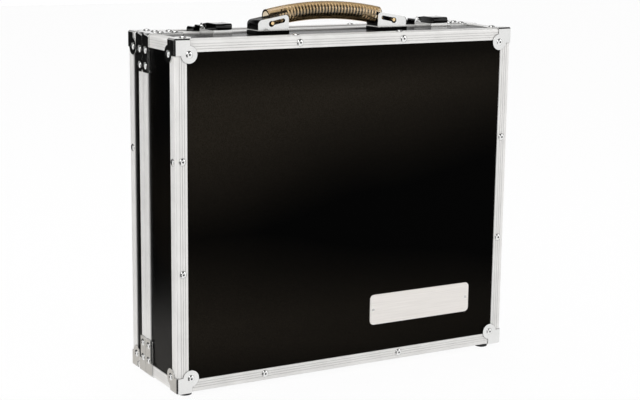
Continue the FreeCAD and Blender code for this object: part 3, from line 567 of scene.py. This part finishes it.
def smooth_tube():
    """The clear tube as one round skin inside and out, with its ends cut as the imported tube's are."""
    centre, radius = grip_bow()
    end = tube_ends(centre, radius)

    def limit(side, distance):
        """The turn along the bow where a line at this distance meets that end's cut, closer at each try."""
        turn = side * TUBE_REACH / TUBE_BOW
        for _ in range(END_TRIES):
            z = centre.z + distance * math.cos(turn)
            turn = math.asin((end(side, z) - centre.x) / distance)
        return turn

    def skin(work, reach):
        """Lines of vertices along the bow, round a tube of this radius."""
        lines = []
        for angle in angles(TUBE_AROUND):
            distance = TUBE_BOW * MM + reach * math.cos(angle)
            first = limit(-1, distance)
            last = limit(1, distance)
            line = []
            for i in range(TUBE_ALONG + 1):
                turn = first + (last - first) * i / TUBE_ALONG
                spot = Vector((distance * math.sin(turn), reach * math.sin(angle), distance * math.cos(turn)))
                line.append(work.verts.new(centre + spot))
            lines.append(line)
        return lines

    work = bmesh.new()
    outer = skin(work, radius)
    inner = skin(work, radius - TUBE_WALL * MM)
    for k in range(TUBE_AROUND):
        after = (k + 1) % TUBE_AROUND
        for i in range(TUBE_ALONG):
            work.faces.new((outer[k][i], outer[k][i + 1], outer[after][i + 1], outer[after][i]))
            work.faces.new((inner[k][i], inner[after][i], inner[after][i + 1], inner[k][i + 1]))
        for i in (0, TUBE_ALONG):
            rims = ((outer[k][i], outer[after][i]), (inner[after][i], inner[k][i]))
            face = work.faces.new((*rims[0], *rims[1]))
            for edge in face.edges:
                if set(edge.verts) in [set(rim) for rim in rims]:
                    edge.smooth = False
    bmesh.ops.recalc_face_normals(work, faces=work.faces)
    finished(mesh_of("grip_tube_skin", work), "amber_tube", "grip", "grip_tube")


def spring_wire():
    """The coil spring as one smooth round wire along the bow of the grip."""
    centre, _ = grip_bow()
    pitch = SPRING_PITCH / TUBE_BOW
    first = (SPRING_CENTRE + TUBE_SHIFT) / TUBE_BOW - pitch * SPRING_TURNS / 2

    def turned(step):
        """The turn along the bow and the turn round the coil at a step of the wire."""
        turns = step / WIRE_STEPS
        return first + pitch * turns, 2 * math.pi * turns

    line = []
    for step in range(SPRING_TURNS * WIRE_STEPS + 1):
        along, angle = turned(step)
        radial = Vector((math.sin(along), 0, math.cos(along)))
        point = centre + radial * ((TUBE_BOW + SPRING_RADIUS * math.cos(angle)) * MM)
        line.append(point + Vector((0, SPRING_RADIUS * MM * math.sin(angle), 0)))
    work = bmesh.new()
    rings = []
    for step, point in enumerate(line):
        before = line[max(step - 1, 0)]
        after = line[min(step + 1, len(line) - 1)]
        heading = (after - before).normalized()
        along, angle = turned(step)
        out = Vector((math.sin(along) * math.cos(angle), math.sin(angle), math.cos(along) * math.cos(angle)))
        out = (out - heading * out.dot(heading)).normalized()
        side = heading.cross(out)
        ring = []
        for around in angles(WIRE_SIDES):
            reach = (out * math.cos(around) + side * math.sin(around)) * (WIRE_RADIUS * MM)
            ring.append(work.verts.new(point + reach))
        rings.append(ring)
    for lower, upper in zip(rings, rings[1:]):
        bridge(work, lower, upper)
    work.faces.new(rings[0][::-1])
    work.faces.new(rings[-1])
    finished(mesh_of("grip_spring_wire", work), "spring_steel", "grip", "grip_spring")


def soft_slab(name, node_name, slot, body, swell, soft_in_front):
    """A soft sheet or pad in its node's place, its face a little uneven and its rim rounded."""
    low, high = (Vector(corner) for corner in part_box(node_name))
    soft_y, hard_y, inward = (low.y, high.y, 1) if soft_in_front else (high.y, low.y, -1)
    cells = SLAB_CELLS
    work = bmesh.new()
    grid = {}
    for i in range(cells + 1):
        for k in range(cells + 1):
            u, w = i / cells, k / cells
            rim = min(u, 1 - u, w, 1 - w) * cells
            drop = (high.y - low.y) * RIM_DROP * max(0, 1 - rim / RIM_CELLS) ** 2
            wave = swell * sum(math.sin(u * across + w * up) for across, up in SLAB_WAVES) / len(SLAB_WAVES)
            x = low.x + (high.x - low.x) * u
            z = low.z + (high.z - low.z) * w
            soft = work.verts.new((x, soft_y + inward * (drop + wave + swell), z))
            grid[i, k] = (soft, work.verts.new((x, hard_y, z)))
    for i in range(cells):
        for k in range(cells):
            for side in (0, 1):
                square = [(i, k), (i + 1, k), (i + 1, k + 1), (i, k + 1)]
                work.faces.new([grid[spot][side] for spot in square])
    border = [(i, 0) for i in range(cells)] + [(cells, k) for k in range(cells)]
    border += [(i, cells) for i in range(cells, 0, -1)] + [(0, k) for k in range(cells, 0, -1)]
    for here, there in zip(border, border[1:] + border[:1]):
        work.faces.new((grid[here][1], grid[there][1], grid[there][0], grid[here][0]))
    bmesh.ops.recalc_face_normals(work, faces=work.faces)
    return finished(mesh_of(name, work), slot, body, node_name)


def linings():
    """The foam in the front half, and the carpeted deck in the rear half that pedals stick to."""
    foam_pad = soft_slab("foam_lining", "front_foam", "foam", "front_half",
                         swell=0.0003, soft_in_front=False)
    deck = soft_slab("deck_carpet", "pedal_deck_carpet", "carpet", "rear_half",
                     swell=0.00015, soft_in_front=True)


# The setting

def photo_camera():
    """The photograph's camera: its place, its aim with a slight roll, and its lens."""
    yaw, pitch, roll = (math.radians(a) for a in (CAMERA_YAW, CAMERA_PITCH, CAMERA_ROLL))
    forward = Vector((math.sin(yaw) * math.cos(pitch), math.cos(yaw) * math.cos(pitch), -math.sin(pitch)))
    level = Vector((math.cos(yaw), -math.sin(yaw), 0))
    rise = level.cross(forward)
    right = level * math.cos(roll) + rise * math.sin(roll)
    up = rise * math.cos(roll) - level * math.sin(roll)
    data = bpy.data.cameras.new("camera")
    data.sensor_width = CAMERA_SENSOR
    data.sensor_fit = "HORIZONTAL"
    data.lens = CAMERA_LENS
    data.clip_start = CAMERA_NEAR
    made = add_object("camera", data)
    turn = Matrix((right, up, -forward)).transposed()
    made.matrix_world = Matrix.Translation(CAMERA_PLACE) @ turn.to_4x4()
    bpy.context.scene.camera = made


def lamp(name, size, power, place, mirrored=True):
    """A soft square lamp aimed at the case, which reflections can leave out."""
    data = bpy.data.lights.new(name, "AREA")
    data.shape = "SQUARE"
    data.size = size
    data.energy = power
    made = add_object(name, data)
    made.location = place
    made.rotation_euler = (LAMP_AIM - Vector(place)).to_track_quat("-Z", "Y").to_euler()
    made.visible_glossy = mirrored


def flat_piece(name, corners, material):
    """A flat piece of the studio, which isn't part of the case."""
    mesh = bpy.data.meshes.new(name)
    mesh.from_pydata(corners, [], [(0, 1, 2, 3)])
    mesh.materials.append(material)
    made = add_object(name, mesh)
    return made


def card(name, start, end, low, high, stops):
    """A standing studio card that only reflections see; its grey changes with height."""
    m = Finish(name)
    height = m.parts(m.place())["Z"]
    m.set(Base_Color=m.spread(height, low, high, stops), Roughness=1.0, Specular_IOR_Level=0.0)
    made = flat_piece(name, [(*start, low), (*end, low), (*end, high), (*start, high)], m.material)
    made.visible_camera = False
    made.visible_diffuse = False
    made.visible_shadow = False
    made.visible_transmission = False


def white_world():
    """A white studio whose ceiling is dark to reflections, and an even fill for everything else."""
    world = bpy.data.worlds.new("studio")
    bpy.context.scene.world = world
    world.use_nodes = True
    t = Tree(world.node_tree)
    t.tree.nodes.clear()
    upward = t.parts(t.add("ShaderNodeTexCoord").outputs["Generated"])["Z"]
    ceiling = t.ramp(upward, [(CEILING_START, 1.0), (CEILING_DARK, CEILING_GREY)])

    def background(strength=1.0, colour=(1, 1, 1, 1)):
        return t.add("ShaderNodeBackground", Color=colour, Strength=strength).outputs[0]

    rays = t.add("ShaderNodeLightPath").outputs
    clear = t.maths("MAXIMUM", rays["Is Camera Ray"], rays["Is Transmission Ray"])
    shaded = t.mixed(rays["Is Glossy Ray"], background(FILL), background(colour=ceiling))
    t.add("ShaderNodeOutputWorld", Surface=t.mixed(clear, shaded, background()))


def pale_floor():
    """A white floor that keeps the case's soft shadow and otherwise lets the white backdrop through."""
    m = Finish("floor_white")
    m.set(Base_Color=(0.9, 0.9, 0.9, 1), Roughness=0.9, Specular_IOR_Level=0.0)
    rays = m.add("ShaderNodeLightPath").outputs
    seen = m.maths("MAXIMUM", rays["Is Camera Ray"], rays["Is Glossy Ray"])
    seen = m.maths("MAXIMUM", seen, rays["Is Transmission Ray"])
    clear = m.add("ShaderNodeBsdfTransparent").outputs[0]
    share = m.maths("MULTIPLY", seen, FLOOR_CLEARNESS)
    m.feed(m.output.inputs["Surface"], m.mixed(share, m.shader.outputs[0], clear))
    reach = FLOOR_REACH
    corners = [(-reach, -reach, 0), (reach, -reach, 0), (reach, reach, 0), (-reach, reach, 0)]
    flat_piece("floor", corners, m.material)


photo_camera()
dress_nodes()
rivet_heads("front_rivet_heads", "front_rivets", "front_half")
rivet_heads("rear_rivet_heads", "rear_rivets", "rear_half")
smooth_tube()
spring_wire()
linings()

white_world()
pale_floor()
lamp("key", size=1.6, power=28, place=(-1.6, -1.8, 2.2))
lamp("fill", size=1.4, power=10, place=(1.8, -1.6, 1.4))
lamp("top", size=1.5, power=14, place=(0, 0.6, 2.4))
lamp("side", size=1.2, power=17, place=(-2.4, 0.3, 0.8), mirrored=False)
card("dark_card_back", start=(-0.55, 0.4), end=(-0.15, 0.4), low=-0.35, high=0.45,
     stops=[(0.35, (1.0, 0.96, 0.9)), (0.42, 0.008)])
card("dark_card_side", start=(-1.15, -0.3), end=(-0.5, -1.25), low=-1.3, high=0.4,
     stops=[(0.0, 0.02), (1.0, 0.02)])

bpy.context.scene.view_settings.view_transform = "Standard"
